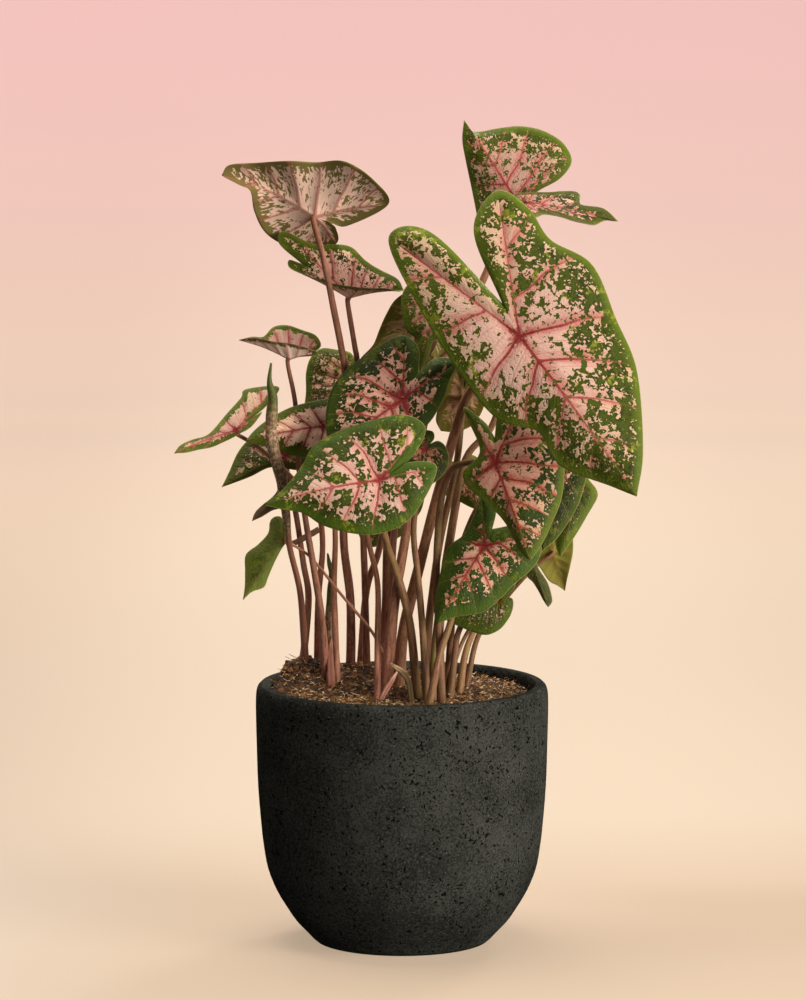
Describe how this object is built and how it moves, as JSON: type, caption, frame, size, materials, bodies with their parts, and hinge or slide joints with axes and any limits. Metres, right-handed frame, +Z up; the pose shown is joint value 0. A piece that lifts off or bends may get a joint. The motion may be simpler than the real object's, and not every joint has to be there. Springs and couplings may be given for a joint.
{
  "type": "caladium",
  "caption": "Potted caladium: heart-shaped pink and green patterned leaves on slender stalks, rising from soil in a round tapered pot.",
  "frame": {"origin": "centre of the pot's flat underside", "axes": "+Z up, +X to the right of the plant's front, +Y towards its back"},
  "size_m": [0.2811, 0.1964, 0.5053],
  "materials": {
    "blade": "leaf, satin, pink and green",
    "stalk": "leaf stalk, brown-red, satin",
    "withered": "dry leaf, matt",
    "rolled": "rolled young leaf, satin",
    "sprout": "dry sheath, matt",
    "pot": "charcoal, matt, finely pitted",
    "soil": "loose potting soil with chips, matt"
  },
  "bodies": {
    "root": {"leaf_01_blade": "blade", "leaf_01_stalk": "stalk", "leaf_02_blade": "blade", "leaf_02_stalk": "stalk", "leaf_03_blade": "blade", "leaf_03_stalk": "stalk", "leaf_04_blade": "blade", "leaf_04_stalk": "stalk", "leaf_05_blade": "blade", "leaf_05_stalk": "stalk", "leaf_06_blade": "blade", "leaf_06_stalk": "stalk", "leaf_07_blade": "blade", "leaf_07_stalk": "stalk", "leaf_08_blade": "blade", "leaf_08_stalk": "stalk", "leaf_09_blade": "blade", "leaf_09_stalk": "stalk", "leaf_10_blade": "blade", "leaf_10_stalk": "stalk", "leaf_11_blade": "blade", "leaf_11_stalk": "stalk", "leaf_12_blade": "blade", "leaf_12_stalk": "stalk", "leaf_13_blade": "blade", "leaf_13_stalk": "stalk", "leaf_14_blade": "blade", "leaf_14_stalk": "stalk", "leaf_15_blade": "blade", "leaf_15_stalk": "stalk", "leaf_16_blade": "blade", "leaf_16_stalk": "stalk", "leaf_17_blade": "blade", "leaf_17_stalk": "stalk", "leaf_18_blade": "blade", "leaf_18_stalk": "stalk", "leaf_19_blade": "blade", "leaf_19_stalk": "stalk", "leaf_20_blade": "blade", "leaf_20_stalk": "stalk", "leaf_21_blade": "blade", "leaf_21_stalk": "stalk", "leaf_22_blade": "blade", "leaf_22_stalk": "stalk", "leaf_23_blade": "blade", "leaf_23_stalk": "stalk", "leaf_24_blade": "blade", "leaf_24_stalk": "stalk", "leaf_25_blade": "blade", "leaf_25_stalk": "stalk", "leaf_26_blade": "blade", "leaf_26_stalk": "stalk", "withered_leaf": "withered", "rolled_leaf": "rolled", "rolled_leaf_small": "rolled", "sprout": "sprout", "pot": "pot", "soil": "soil"}
  },
  "joints": []
}
